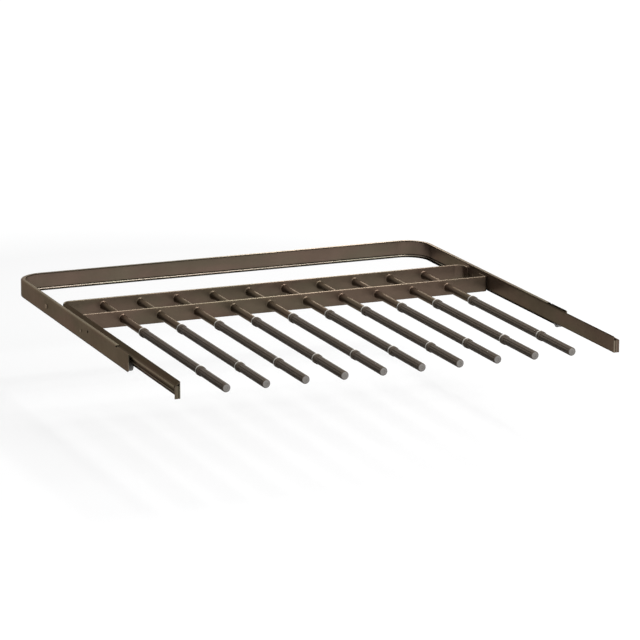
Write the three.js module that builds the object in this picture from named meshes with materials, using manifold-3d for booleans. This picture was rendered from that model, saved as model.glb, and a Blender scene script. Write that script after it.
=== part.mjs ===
// Pull-out trouser rack for a wardrobe, in millimetres, +Z up, drawn as the rack stands half pulled out.
// X runs across the rack, the front is -Y, and the origin is the middle of the back bar's rear face.
// A bent channel frame is screwed between the wardrobe's sides, and a carriage of two rails, two
// crossbars and a row of gripped rods runs on rollers in it.
import * as THREE from 'three';
import { mergeVertices } from 'three/addons/utils/BufferGeometryUtils.js';
import Module from 'manifold-3d';

// Driving dimensions
const outerWidth = 716;
const frameDepth = 547;
const restPullout = 183;
const rodCount = 10;
const rodSideInset = 83.5;

// Channel frame
const channelHeight = 28.6;
const channelWall = 1.5;
const flangeWidth = 7;
const bendRadius = 2.4;
const innerBendRadius = 0.9;
const frameCornerRadius = 44;
const flangeSetback = 56;
const lowerFlangeSetback = 26;
const earRadius = 7.5;
const notchLength = 6;
const notchDepth = 1.8;

// Fixed rollers at the front of the frame
const fixedRollerRadius = 8.3;
const fixedRollerWidth = 9.3;
const fixedRollerSetback = 15.5;
const fixedRollerDrop = 21;
const fixedRollerRecess = 1.5;
const rollerSideGap = 0.5;
const rollerCrown = 0.9;
const hubRadius = 4.6;
const axleRadius = 2.2;
const axleHeadRadius = 3.6;
const axleHeadHeight = 0.7;
const axleEndHeight = 0.9;
const axleEndPlay = 0.2;
const fitGap = 0.3;

// Mounting pegs and screw holes in the frame's sides
const rearPegSetback = 167;
const rearPegDrop = 14;
const rearPegRadius = 3.9;
const rearPegHeight = 1.6;
const rearPegDimpleRadius = 1.6;
const middlePegSetback = 333;
const middlePegDrop = 14.7;
const middlePegRadius = 2.3;
const middlePegHeight = 1.4;
const middlePegDimpleRadius = 0.9;
const pegStemShare = 0.62;
const pegDimpleDepth = 0.8;
const screwHoleSetback = 365;
const screwHoleDrop = 8.4;
const screwHoleRadius = 2.9;

// Carriage rails
const railInset = 14;
const railHeight = 25.4;
const railRise = 3.3;
const railWall = 1.2;
const roofFootInset = 8.2;
const roofFootDrop = 5.8;
const roofEdgeInset = 4.3;
const roofEdgeDrop = 6.3;
const roofLipHeight = 2.8;
const shelfEdgeInset = 4.8;
const grooveInset = 7.5;
const railRearRun = 15;
const tabDrop = 6.6;
const tabEdgeInset = 5;
const ridgeRearRun = 27;
const ridgeCutDrop = 1;
const tabBendRadius = 2;

// Rear rollers on the carriage
const rearRollerPlay = 0.35;
const rearRollerWidth = 9;
const rearRollerRecess = 1.5;
const rearRollerSetback = 38;
const rearRollerRoom = 3;
const rearRollerHeadroom = 0.5;

// Crossbars
const barHeight = 25;
const barWall = 3;
const barEdge = 0.7;
const rearBarSetback = 535;
const frontBarSetback = 441;
const rearBarRadius = 16;
const frontBarRadius = 3.2;
const barTabLength = 24;

// Rods, grips and caps, placed from the rods' tips
const rodDrop = 13.8;
const rodRadius = 6;
const rodCoreRadius = 4.7;
const tenonRadius = 3;
const tenonProud = 0.8;
const rearCollarSetback = 350;
const middleCollarSetback = 108;
const gripRadius = 6.4;
const gripGrooveDepth = 0.45;
const gripRibs = 10;
const collarRadius = 7.4;
const collarLength = 8;
const collarChamfer = 0.7;
const ringRadius = 7.7;
const ringLength = 1.6;
const capLength = 2.2;
const capRounding = 1.5;
const plugRadius = 3.4;
const plugLength = 7;
const rodEndWall = 6;

// Roundness of turned pieces, in sides
const rodSides = 16;
const holeSides = 12;
const collarSides = 18;
const rollerSides = 24;
const smallSides = 12;
const cornerSteps = 8;
const bendSteps = 3;
const cutOverrun = 5;

// Sizes worked out from the driving dimensions
const halfWidth = outerWidth / 2;
const rodPitch = (outerWidth - 2 * rodSideInset) / (rodCount - 1);
const channelTop = channelHeight / 2;
const channelBottom = -channelTop;
const frameFront = -frameDepth;
const railFront = frameFront - restPullout;
const railTop = channelTop + railRise;
const railBottom = railTop - railHeight;
const rodLevel = channelTop - rodDrop;
const rodTip = railFront;
const fixedRollerY = frameFront + fixedRollerSetback;
const fixedRollerZ = channelTop - fixedRollerDrop;
const shelfUnderside = fixedRollerZ + fixedRollerRadius + fitGap;
const rearBarRearFace = rodTip + rearBarSetback;
const frontBarRearFace = rodTip + frontBarSetback + barWall;
const rearRollerY = rearBarRearFace - rearRollerSetback;
const rearRollerRadius = channelTop - channelWall - rearRollerPlay;
const railRear = rearBarRearFace - railRearRun;
const runningEnd = rearRollerY - rearRollerRadius - rearRollerRoom;
const barTop = rodLevel + barHeight / 2;

const wasm = await Module();
wasm.setup();

// Finishes
const steelPaint = new THREE.Color(0x4d4039);
const gripPlastic = new THREE.Color(0x3a332f);
const capPlastic = new THREE.Color(0x85817e);
const rollerPlastic = new THREE.Color(0xd8d6d1);
const platedSteel = new THREE.Color(0xa39c95);

const rack = new THREE.Group();

function finish(color, roughness, metalness) {
  return new THREE.MeshStandardMaterial({ color, roughness, metalness });
}

function addMesh(name, geometry, material, parent = rack) {
  const mesh = new THREE.Mesh(geometry, material);
  mesh.name = name;
  parent.add(mesh);
  return mesh;
}

// Joins shared corners and drops the triangles that collapse on an axis
function welded(geometry) {
  const bare = geometry.clone();
  bare.deleteAttribute('normal');
  bare.deleteAttribute('uv');
  const merged = mergeVertices(bare);
  const all = merged.index.array;
  const kept = [];
  for (let i = 0; i < all.length; i += 3) {
    const [a, b, c] = [all[i], all[i + 1], all[i + 2]];
    if (a !== b && b !== c && c !== a) {
      kept.push(a, b, c);
    }
  }
  return merged.setIndex(kept);
}

// Booleans
function toSolid(geometry) {
  const merged = welded(geometry);
  const mesh = new wasm.Mesh({
    numProp: 3,
    vertProperties: new Float32Array(merged.attributes.position.array),
    triVerts: new Uint32Array(merged.index.array),
  });
  return new wasm.Manifold(mesh);
}

function toGeometry(solid) {
  const { vertProperties, triVerts, numProp } = solid.getMesh();
  const positions = new Float32Array((vertProperties.length / numProp) * 3);
  for (let i = 0; i < positions.length / 3; i += 1) {
    positions.set(vertProperties.subarray(i * numProp, i * numProp + 3), i * 3);
  }
  const geometry = new THREE.BufferGeometry();
  geometry.setAttribute('position', new THREE.BufferAttribute(positions, 3));
  geometry.setIndex(new THREE.BufferAttribute(new Uint32Array(triVerts), 1));
  geometry.computeVertexNormals();
  return geometry;
}

function join(first, ...others) {
  return toGeometry(others.reduce((solid, other) => solid.add(toSolid(other)), toSolid(first)));
}

function cut(body, ...tools) {
  return toGeometry(tools.reduce((solid, tool) => solid.subtract(toSolid(tool)), toSolid(body)));
}

function box(low, high) {
  const size = new THREE.Vector3().subVectors(high, low);
  const geometry = new THREE.BoxGeometry(size.x, size.y, size.z);
  return geometry.translate((low.x + high.x) / 2, (low.y + high.y) / 2, (low.z + high.z) / 2);
}

// Turns every face outwards, which a mirrored or swept surface may need
function facingOut(geometry) {
  const at = geometry.attributes.position;
  const index = geometry.index.array;
  const [a, b, c] = [new THREE.Vector3(), new THREE.Vector3(), new THREE.Vector3()];
  let volume = 0;
  for (let i = 0; i < index.length; i += 3) {
    a.fromBufferAttribute(at, index[i]);
    b.fromBufferAttribute(at, index[i + 1]);
    c.fromBufferAttribute(at, index[i + 2]);
    volume += a.dot(b.cross(c));
  }
  if (volume < 0) {
    for (let i = 0; i < index.length; i += 3) {
      [index[i], index[i + 1]] = [index[i + 1], index[i]];
    }
  }
  geometry.computeVertexNormals();
  return geometry;
}

function mirrored(geometry) {
  return facingOut(geometry.clone().scale(-1, 1, 1));
}

// A solid of revolution about Y from points of radius and place along the axis
function turned(points, sides) {
  const profile = points.map(([r, y]) => new THREE.Vector2(r, y));
  return facingOut(welded(new THREE.LatheGeometry(profile, sides)));
}

// The same about X, for rollers and pins
function turnedAcross(points, sides) {
  return turned(points, sides).rotateZ(-Math.PI / 2);
}

function pinAcross(radius, y, z) {
  const reach = halfWidth + cutOverrun;
  const points = [[0, -reach], [radius, -reach], [radius, reach], [0, reach]];
  return turnedAcross(points, smallSides).translate(0, y, z);
}

function pinAlong(radius, x, low, high, z, sides) {
  return turned([[0, low], [radius, low], [radius, high], [0, high]], sides).translate(x, 0, z);
}

// Rounds the corners of an outline; each corner is [across, up, radius]
function rounded(corners, steps) {
  return corners.flatMap(([across, up, radius], i) => {
    const here = new THREE.Vector2(across, up);
    if (!radius) {
      return [here];
    }
    const before = new THREE.Vector2(...corners.at(i - 1)).sub(here).normalize();
    const after = new THREE.Vector2(...corners[(i + 1) % corners.length]).sub(here).normalize();
    const half = before.angleTo(after) / 2;
    const centre = here.clone().add(before.clone().add(after).setLength(radius / Math.sin(half)));
    const start = here.clone().addScaledVector(before, radius / Math.tan(half)).sub(centre);
    const turn = Math.PI - 2 * half;
    const way = Math.sign(before.cross(after)) || 1;
    return Array.from({ length: steps + 1 }, (_, step) => (
      start.clone().rotateAround(new THREE.Vector2(), (-way * turn * step) / steps).add(centre)
    ));
  });
}

// Stations of a path that runs up the left side, across the back and down the right side
function frameStations(half, backY, frontY, radius) {
  const left = Array.from({ length: cornerSteps + 1 }, (_, i) => {
    const angle = Math.PI - (i * Math.PI) / 2 / cornerSteps;
    const out = new THREE.Vector2(Math.cos(angle), Math.sin(angle));
    return { x: -half + radius + radius * out.x, y: backY - radius + radius * out.y, out };
  });
  left.unshift({ x: -half, y: frontY, out: new THREE.Vector2(-1, 0) });
  const right = left.map(({ x, y, out }) => ({ x: -x, y, out: new THREE.Vector2(-out.x, out.y) }));
  return [...left, ...right.reverse()];
}

// Carries a section, drawn as inset from the path and height, along the stations
function sectionAlong(stations, outline) {
  const section = THREE.ShapeUtils.isClockWise(outline) ? outline.toReversed() : outline;
  const positions = stations.flatMap(({ x, y, out }) => (
    section.flatMap((point) => [x - out.x * point.x, y - out.y * point.x, point.y])
  ));
  const count = section.length;
  const index = [];
  for (let ring = 0; ring < stations.length - 1; ring += 1) {
    for (let i = 0; i < count; i += 1) {
      const [near, next] = [ring * count + i, ring * count + ((i + 1) % count)];
      index.push(near, next, next + count, near, next + count, near + count);
    }
  }
  const last = (stations.length - 1) * count;
  for (const [a, b, c] of THREE.ShapeUtils.triangulateShape(section, [])) {
    index.push(c, b, a, last + a, last + b, last + c);
  }
  const geometry = new THREE.BufferGeometry();
  geometry.setAttribute('position', new THREE.Float32BufferAttribute(positions, 3));
  geometry.setIndex(index);
  return facingOut(geometry);
}

function placesAcross(count, pitch) {
  return Array.from({ length: count }, (_, i) => (i - (count - 1) / 2) * pitch);
}

const rodPlaces = placesAcross(rodCount, rodPitch);

// The channel frame, open inwards, with its flanges cut back at the front of each side
function channelFrame() {
  const section = rounded([
    [flangeWidth, channelBottom, 0],
    [0, channelBottom, bendRadius],
    [0, channelTop, bendRadius],
    [flangeWidth, channelTop, 0],
    [flangeWidth, channelTop - channelWall, 0],
    [channelWall, channelTop - channelWall, innerBendRadius],
    [channelWall, channelBottom + channelWall, innerBendRadius],
    [flangeWidth, channelBottom + channelWall, 0],
  ], bendSteps);
  const body = sectionAlong(frameStations(halfWidth, 0, frameFront, frameCornerRadius), section);

  const inside = halfWidth - channelWall;
  const outside = halfWidth + cutOverrun;
  const flangeFront = frameFront + flangeSetback;
  const lowerFlangeFront = frameFront + lowerFlangeSetback;
  const upperFlangeCut = box(
    new THREE.Vector3(-inside, frameFront - cutOverrun, channelTop - channelWall - innerBendRadius),
    new THREE.Vector3(inside, flangeFront, channelTop + cutOverrun),
  );
  const lowerFlangeCut = box(
    new THREE.Vector3(-inside, frameFront - cutOverrun, channelBottom - cutOverrun),
    new THREE.Vector3(inside, lowerFlangeFront, channelBottom + channelWall + innerBendRadius),
  );
  const notch = box(
    new THREE.Vector3(-outside, flangeFront - notchLength, channelTop - notchDepth),
    new THREE.Vector3(outside, flangeFront, channelTop + cutOverrun),
  );
  const holes = [
    pinAcross(axleRadius + fitGap, fixedRollerY, fixedRollerZ),
    pinAcross(rearPegRadius * pegStemShare + fitGap, -rearPegSetback, channelTop - rearPegDrop),
    pinAcross(middlePegRadius * pegStemShare + fitGap, -middlePegSetback, channelTop - middlePegDrop),
    pinAcross(screwHoleRadius, -screwHoleSetback, channelTop - screwHoleDrop),
  ];
  return cut(body, upperFlangeCut, lowerFlangeCut, notch, earCut(), ...holes);
}

// What the rounded lower front corner of each side loses
function earCut() {
  const shape = new THREE.Shape();
  shape.moveTo(frameFront - cutOverrun, channelBottom - cutOverrun);
  shape.lineTo(frameFront + earRadius, channelBottom - cutOverrun);
  shape.lineTo(frameFront + earRadius, channelBottom);
  shape.absarc(
    frameFront + earRadius,
    channelBottom + earRadius,
    earRadius,
    -Math.PI / 2,
    -Math.PI,
    true,
  );
  shape.lineTo(frameFront - cutOverrun, channelBottom + earRadius);
  const reach = halfWidth + cutOverrun;
  const geometry = new THREE.ExtrudeGeometry(shape, {
    depth: 2 * reach,
    bevelEnabled: false,
    curveSegments: cornerSteps,
  });
  const turn = new THREE.Matrix4().makeBasis(
    new THREE.Vector3(0, 1, 0),
    new THREE.Vector3(0, 0, 1),
    new THREE.Vector3(1, 0, 0),
  );
  return geometry.applyMatrix4(turn).translate(-reach, 0, 0);
}

// A roller whose narrow face, at 0 across, carries the recess for its axle's end
function roller(radius, width, recess) {
  const bore = axleRadius + fitGap;
  return turnedAcross([
    [bore, recess],
    [hubRadius, recess],
    [hubRadius, 0],
    [radius - rollerCrown, 0],
    [radius, rollerCrown],
    [radius, width - rollerCrown],
    [radius - rollerCrown, width],
    [bore, width],
    [bore, recess],
  ], rollerSides);
}

// A riveted axle, from its end head at 0 across to its outer head
function axle(gripLength) {
  return turnedAcross([
    [0, 0],
    [axleHeadRadius, 0],
    [axleHeadRadius, axleEndHeight],
    [axleRadius, axleEndHeight],
    [axleRadius, axleEndHeight + gripLength],
    [axleHeadRadius, axleEndHeight + gripLength],
    [axleHeadRadius - axleHeadHeight / 2, axleEndHeight + gripLength + axleHeadHeight],
    [0, axleEndHeight + gripLength + axleHeadHeight],
  ], smallSides);
}

// A peg on the outer face of the right side, with a dimpled head
function mountingPeg(radius, height, dimpleRadius) {
  const stem = radius * pegStemShare;
  return turnedAcross([
    [0, -channelWall],
    [stem, -channelWall],
    [stem, 0],
    [radius, 0],
    [radius, height / 2],
    [radius - height / 2, height],
    [dimpleRadius, height],
    [0, height - pegDimpleDepth],
  ], smallSides);
}

// The left rail: a web with a hollow side under a sloping roof, whose shelf rides on the roller, and a tab
function leftRail() {
  const webOuter = railInset - railWall;
  const roofFootZ = railTop - roofFootDrop;
  const roofEdgeZ = railTop - roofEdgeDrop;
  const shelfTop = shelfUnderside + railWall;
  const section = [
    [railInset, railBottom],
    [railInset, railTop],
    [roofFootInset, roofFootZ],
    [roofEdgeInset, roofEdgeZ],
    [roofEdgeInset, roofEdgeZ - roofLipHeight],
    [roofEdgeInset + railWall, roofEdgeZ - roofLipHeight],
    [roofEdgeInset + railWall, roofEdgeZ - railWall],
    [grooveInset, roofEdgeZ - railWall],
    [grooveInset, shelfTop],
    [shelfEdgeInset, shelfTop],
    [shelfEdgeInset, shelfUnderside],
    [webOuter, shelfUnderside],
    [webOuter, railBottom],
  ].map(([inset, z]) => new THREE.Vector2(inset, z));
  const hollow = [
    [webOuter, shelfTop],
    [grooveInset + railWall, shelfTop],
    [grooveInset + railWall, roofFootZ - railWall],
    [webOuter, railTop - 2 * railWall],
  ].map(([inset, z]) => new THREE.Vector2(inset, z));
  const stationsAt = (front, rear) => [front, rear].map((y) => (
    { x: -halfWidth, y, out: new THREE.Vector2(-1, 0) }
  ));
  const sectionFront = railFront + tabBendRadius;
  const profile = cut(
    sectionAlong(stationsAt(sectionFront, railRear), section),
    sectionAlong(stationsAt(sectionFront - cutOverrun, railRear + cutOverrun), hollow),
  );
  const rollerCut = box(
    new THREE.Vector3(-halfWidth - cutOverrun, runningEnd, railBottom - cutOverrun),
    new THREE.Vector3(-halfWidth + webOuter, railRear + cutOverrun, rearRollerRadius + rearRollerHeadroom),
  );
  const ridgeCut = box(
    new THREE.Vector3(-halfWidth - cutOverrun, rearBarRearFace - ridgeRearRun, barTop - ridgeCutDrop),
    new THREE.Vector3(-halfWidth + railInset + cutOverrun, railRear + cutOverrun, railTop + cutOverrun),
  );
  const axleHole = pinAcross(axleRadius + fitGap, rearRollerY, 0);
  return cut(join(profile, railTab()), rollerCut, ridgeCut, axleHole);
}

// The tab that is folded outwards across the front of the left rail
function railTab() {
  const inner = -halfWidth + railInset;
  const outer = -halfWidth + tabEdgeInset;
  const overlap = tabBendRadius + railWall;
  const shape = new THREE.Shape();
  shape.moveTo(outer, railFront);
  shape.lineTo(inner - tabBendRadius, railFront);
  shape.absarc(inner - tabBendRadius, railFront + tabBendRadius, tabBendRadius, -Math.PI / 2, 0, false);
  shape.lineTo(inner, railFront + overlap);
  shape.lineTo(inner - railWall, railFront + overlap);
  shape.lineTo(inner - railWall, railFront + railWall);
  shape.lineTo(outer, railFront + railWall);
  const settings = { depth: railHeight - tabDrop, bevelEnabled: false, curveSegments: bendSteps };
  return new THREE.ExtrudeGeometry(shape, settings).translate(0, 0, railBottom);
}

// A flat bar on edge whose ends are bent against the rails, to the front or to the rear
function crossbar(rearFace, radius, holeRadius, bendsForward) {
  const low = rodLevel - barHeight / 2;
  const section = rounded([
    [0, low, barEdge],
    [0, barTop, barEdge],
    [barWall, barTop, barEdge],
    [barWall, low, barEdge],
  ], 1);
  const half = halfWidth - railInset;
  const bar = sectionAlong(frameStations(half, rearFace, rearFace - barTabLength, radius), section);
  if (!bendsForward) {
    bar.scale(1, -1, 1).translate(0, 2 * rearFace - barWall, 0);
  }
  const holes = rodPlaces.map((x) => (
    pinAlong(holeRadius, x, rearFace - barWall - cutOverrun, rearFace + cutOverrun, rodLevel, holeSides)
  ));
  return cut(facingOut(bar), ...holes);
}

// A hollow rod, thick from its rear tenon to the rear grip and thin inside the grips
function rod() {
  const coreFront = rodTip + capLength;
  const shoulder = rearBarRearFace - barWall;
  const plugBore = plugRadius + fitGap;
  const boreRear = shoulder - rodEndWall;
  return turned([
    [0, boreRear],
    [plugBore, boreRear],
    [plugBore, coreFront],
    [rodCoreRadius, coreFront],
    [rodCoreRadius, rodTip + rearCollarSetback],
    [rodRadius, rodTip + rearCollarSetback],
    [rodRadius, shoulder],
    [tenonRadius, shoulder],
    [tenonRadius, rearBarRearFace + tenonProud],
    [0, rearBarRearFace + tenonProud],
  ], rodSides);
}

// A ribbed sleeve with a ring and a collar at its rear end
function grip(rearEnd, frontEnd) {
  const shape = new THREE.Shape();
  const ribPoints = Array.from({ length: 2 * gripRibs }, (_, i) => {
    const radius = i % 2 ? gripRadius - gripGrooveDepth : gripRadius;
    const angle = (i * Math.PI) / gripRibs;
    return new THREE.Vector2(radius * Math.cos(angle), radius * Math.sin(angle));
  });
  shape.setFromPoints(ribPoints);
  const sleeveRear = rearEnd - ringLength;
  const turn = new THREE.Matrix4().makeBasis(
    new THREE.Vector3(1, 0, 0),
    new THREE.Vector3(0, 0, 1),
    new THREE.Vector3(0, -1, 0),
  );
  const sleeve = new THREE.ExtrudeGeometry(shape, { depth: sleeveRear - frontEnd, bevelEnabled: false })
    .applyMatrix4(turn)
    .translate(0, sleeveRear, 0);

  const ringFront = rearEnd - ringLength;
  const collarFront = ringFront - collarLength;
  const collar = turned([
    [0, collarFront],
    [collarRadius - collarChamfer, collarFront],
    [collarRadius, collarFront + collarChamfer],
    [collarRadius, ringFront],
    [ringRadius, ringFront],
    [ringRadius, rearEnd],
    [0, rearEnd],
  ], collarSides);
  const bore = pinAlong(rodCoreRadius + fitGap, 0, frontEnd - cutOverrun, rearEnd + cutOverrun, 0, rodSides);
  return cut(join(collar, sleeve), bore);
}

// A rounded cap that plugs a rod's front end
function tipCap() {
  const back = rodTip + capLength;
  return turned([
    [0, rodTip],
    [gripRadius - capRounding, rodTip],
    [gripRadius, rodTip + capRounding],
    [gripRadius, back],
    [plugRadius, back],
    [plugRadius, back + plugLength],
    [0, back + plugLength],
  ], rodSides);
}

function addPair(name, leftGeometry, material) {
  addMesh(`${name}_left`, leftGeometry, material);
  addMesh(`${name}_right`, mirrored(leftGeometry), material.clone());
}

function buildFrame() {
  addMesh('channel_frame', channelFrame(), finish(steelPaint, 0.42, 0.25));

  const rollerInner = -halfWidth + channelWall + rollerSideGap + fixedRollerWidth;
  const fixedRoller = mirrored(roller(fixedRollerRadius, fixedRollerWidth, fixedRollerRecess))
    .translate(rollerInner, fixedRollerY, fixedRollerZ);
  addPair('front_roller', fixedRoller, finish(rollerPlastic, 0.35, 0));

  const axleEnd = rollerInner - fixedRollerRecess + axleEndPlay + axleEndHeight;
  const fixedGrip = axleEnd - axleEndHeight + halfWidth;
  const fixedAxle = mirrored(axle(fixedGrip)).translate(axleEnd, fixedRollerY, fixedRollerZ);
  addPair('front_axle', fixedAxle, finish(steelPaint, 0.4, 0.4));

  const rearPeg = mirrored(mountingPeg(rearPegRadius, rearPegHeight, rearPegDimpleRadius))
    .translate(-halfWidth, -rearPegSetback, channelTop - rearPegDrop);
  addPair('rear_mounting_peg', rearPeg, finish(platedSteel, 0.38, 0.6));

  const middlePeg = mirrored(mountingPeg(middlePegRadius, middlePegHeight, middlePegDimpleRadius))
    .translate(-halfWidth, -middlePegSetback, channelTop - middlePegDrop);
  addPair('middle_mounting_peg', middlePeg, finish(platedSteel, 0.38, 0.6));
}

function buildCarriage() {
  addPair('rail', leftRail(), finish(steelPaint, 0.4, 0.25));
  const rearBar = crossbar(rearBarRearFace, rearBarRadius, tenonRadius + fitGap, true);
  const frontBar = crossbar(frontBarRearFace, frontBarRadius, rodRadius + fitGap, false);
  addMesh('rear_crossbar', rearBar, finish(steelPaint, 0.42, 0.25));
  addMesh('front_crossbar', frontBar, finish(steelPaint, 0.42, 0.25));

  const rollerOuter = -halfWidth + railInset - railWall - rollerSideGap - rearRollerWidth;
  const movingRoller = roller(rearRollerRadius, rearRollerWidth, rearRollerRecess)
    .translate(rollerOuter, rearRollerY, 0);
  addPair('rear_roller', movingRoller, finish(rollerPlastic, 0.35, 0));

  const axleEnd = rollerOuter + rearRollerRecess - axleEndPlay - axleEndHeight;
  const movingGrip = -halfWidth + railInset - axleEnd - axleEndHeight;
  addPair('rear_axle', axle(movingGrip).translate(axleEnd, rearRollerY, 0), finish(steelPaint, 0.4, 0.4));
}

function buildRods() {
  const rodShape = rod();
  const rearGrip = grip(rodTip + rearCollarSetback, rodTip + middleCollarSetback);
  const frontGrip = grip(rodTip + middleCollarSetback, rodTip + capLength);
  const cap = tipCap();
  rodPlaces.forEach((x, i) => {
    const line = new THREE.Group();
    line.position.set(x, 0, rodLevel);
    rack.add(line);
    const number = i + 1;
    addMesh(`rod_${number}`, rodShape.clone(), finish(steelPaint, 0.4, 0.25), line);
    addMesh(`rear_grip_${number}`, rearGrip.clone(), finish(gripPlastic, 0.6, 0), line);
    addMesh(`front_grip_${number}`, frontGrip.clone(), finish(gripPlastic, 0.6, 0), line);
    addMesh(`tip_cap_${number}`, cap.clone(), finish(capPlastic, 0.5, 0), line);
  });
}

buildFrame();
buildCarriage();
buildRods();

export default rack;
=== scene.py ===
# Dresses a pull-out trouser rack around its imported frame: enamelled steel, ribbed sleeves and
# nylon rollers. Lengths are in metres, +Z is up and the front is -Y.
import math

import bmesh
import bpy
from mathutils import Matrix, Vector


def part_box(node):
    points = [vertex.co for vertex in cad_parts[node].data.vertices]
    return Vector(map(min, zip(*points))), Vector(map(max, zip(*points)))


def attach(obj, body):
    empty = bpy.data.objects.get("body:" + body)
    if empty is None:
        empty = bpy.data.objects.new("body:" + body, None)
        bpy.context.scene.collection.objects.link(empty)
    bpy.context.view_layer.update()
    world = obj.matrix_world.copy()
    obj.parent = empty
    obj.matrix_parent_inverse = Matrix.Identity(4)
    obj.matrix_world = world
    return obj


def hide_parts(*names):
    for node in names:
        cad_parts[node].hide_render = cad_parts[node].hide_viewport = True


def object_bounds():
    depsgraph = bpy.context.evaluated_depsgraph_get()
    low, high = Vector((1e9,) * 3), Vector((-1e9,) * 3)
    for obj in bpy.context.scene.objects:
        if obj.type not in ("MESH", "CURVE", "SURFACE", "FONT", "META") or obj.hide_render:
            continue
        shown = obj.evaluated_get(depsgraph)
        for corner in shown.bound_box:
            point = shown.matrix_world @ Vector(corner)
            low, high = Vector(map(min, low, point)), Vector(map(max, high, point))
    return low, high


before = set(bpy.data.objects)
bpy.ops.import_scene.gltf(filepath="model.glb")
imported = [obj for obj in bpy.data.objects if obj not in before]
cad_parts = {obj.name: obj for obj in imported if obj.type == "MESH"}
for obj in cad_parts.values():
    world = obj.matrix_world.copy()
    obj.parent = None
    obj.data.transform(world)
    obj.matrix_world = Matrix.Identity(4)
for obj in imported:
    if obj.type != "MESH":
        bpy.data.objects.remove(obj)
cad_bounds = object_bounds()

# Channel frame. A band is a strip of a face parted off so that it can take painted shade.
CHANNEL_SHEET = 0.0015
FLANGE_WIDTH = 0.007
CHANNEL_BEND = 0.0024
CHANNEL_INNER_BEND = 0.0018
CORNER_BAND = 0.0014
FRAME_CORNER = 0.044
FLANGE_SETBACK = 0.056
LOWER_FLANGE_SETBACK = 0.026
NOTCH_LENGTH = 0.006
NOTCH_DEPTH = 0.0018
EAR_RADIUS = 0.0075
SCREW_HOLE_SETBACK = 0.365
SCREW_HOLE_DROP = 0.0084
SCREW_HOLE_RADIUS = 0.0029

# Rails, as inset from the channel's outer face and drop from the rail's top
RAIL_SHEET = 0.0012
RAIL_INSET = 0.014
ROOF_FOOT_INSET = 0.0082
ROOF_FOOT_DROP = 0.0058
ROOF_EDGE_INSET = 0.0043
ROOF_EDGE_DROP = 0.0063
ROOF_LIP = 0.0028
SHELF_EDGE_INSET = 0.0048
GROOVE_INSET = 0.0075
SHELF_CLEARANCE = 0.0003
TAB_DROP = 0.0066
TAB_EDGE_INSET = 0.005
RAIL_HEAD_BAND = 0.0021
RAIL_FOOT_BAND = 0.0014
RIDGE_REAR_RUN = 0.027
RIDGE_CUT_DROP = 0.001
TAB_BEND = 0.002
TAB_GROOVE_OUTER = 0.0100
TAB_GROOVE_INNER = 0.0119
TAB_GROOVE_DEPTH = 0.0007
TAB_EDGE_STRIP = 0.0008
ROLLER_ROOM = 0.003
ROLLER_HEADROOM = 0.0005
ROOF_RIDGE_ROUNDING = 0.0003
ROOF_FOOT_ROUNDING = 0.0012
ROOF_EDGE_ROUNDING = 0.0008
SHELF_ROUNDING = 0.0006

# Crossbars
BAR_WALL = 0.003
BAR_EDGE = 0.0009
REAR_BAR_BEND = 0.016
FRONT_BAR_BEND = 0.0032

# Weld beads. Each wave has its height as a share of the bead, its count round the rod and how
# far it shifts from one bead to the next.
BEAD_WIDTH = 0.0014
BEAD_LENGTH = 0.0022
BEAD_STEPS = 5
BEAD_WAVES = ((0.09, 5, 2.1), (0.07, 9, -1.3))
BEAD_THINNING = 0.25
BEAD_CREST = 0.5
BEAD_CREST_SHARPNESS = 12

# Rods and sleeves
ROD_COUNT = 10
ROD_RADIUS = 0.006
CORE_RADIUS = 0.0047
TENON_RADIUS = 0.003
FIT_GAP = 0.0003
SLEEVE_RADIUS = 0.0064
RIB_COUNT = 10
RIB_DEPTH = 0.0008
RIB_SHARPNESS = 0.7
COLLAR_RADIUS = 0.0074
COLLAR_LENGTH = 0.0073
COLLAR_CHAMFER = 0.0007
RING_LENGTH = 0.0023
CAP_ROUNDING = 0.0020
CAP_DIMPLE_RADIUS = 0.0019
CAP_DIMPLE_DEPTH = 0.0002
CAP_PLUG_RADIUS = 0.0034

# Rollers, axles and pegs
AXLE_RADIUS = 0.0022
HUB_RADIUS = 0.0046
ROLLER_RECESS = 0.0015
ROLLER_CROWN = 0.0009
PARTING = 0.0002
RIVET_DOME = 0.0007
PEG_STEM_SHARE = 0.62
PEG_DIMPLE_SHARE = 0.42
PEG_DIMPLE_TAPER = 0.8

# Roundings, cutters and the fineness of curves
EDGE_ROUNDING = 0.00035
FLANGE_ROUNDING = 0.0007
OVERRUN = 0.005
BEND_STEPS = 6
CORNER_STEPS = 28
EAR_STEPS = 12
ROUND_SIDES = 64
ROD_SIDES = 48
SLEEVE_SIDES = 120
RIVET_SIDES = 40

# Creases sharper than these many degrees stay sharp
SMOOTH_ANGLE = 35
GRIP_SMOOTH_ANGLE = 40
ROLLER_SMOOTH_ANGLE = 50
BEAD_SMOOTH_ANGLE = 60

# How far a face turns towards a direction, as its normal's share along that direction
LEANING = 0.3
HALFWAY = 0.5
UPWARD = 0.7
MOSTLY = 0.8
SQUARELY = 0.9
LEVEL = 0.95

X_AXIS = Vector((1, 0, 0))
Y_AXIS = Vector((0, 1, 0))
Z_AXIS = Vector((0, 0, 1))


# Mesh building

def corners_of(node):
    low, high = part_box(node)
    return Vector(low), Vector(high)


def lengthways_axis(low, high):
    """The point at Y = 0 on the axis of a piece that lies from front to back."""
    return Vector(((low.x + high.x) / 2, 0, (low.z + high.z) / 2))


def arc_angles(steps=BEND_STEPS):
    return [math.pi / 2 * i / steps for i in range(steps + 1)]


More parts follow.
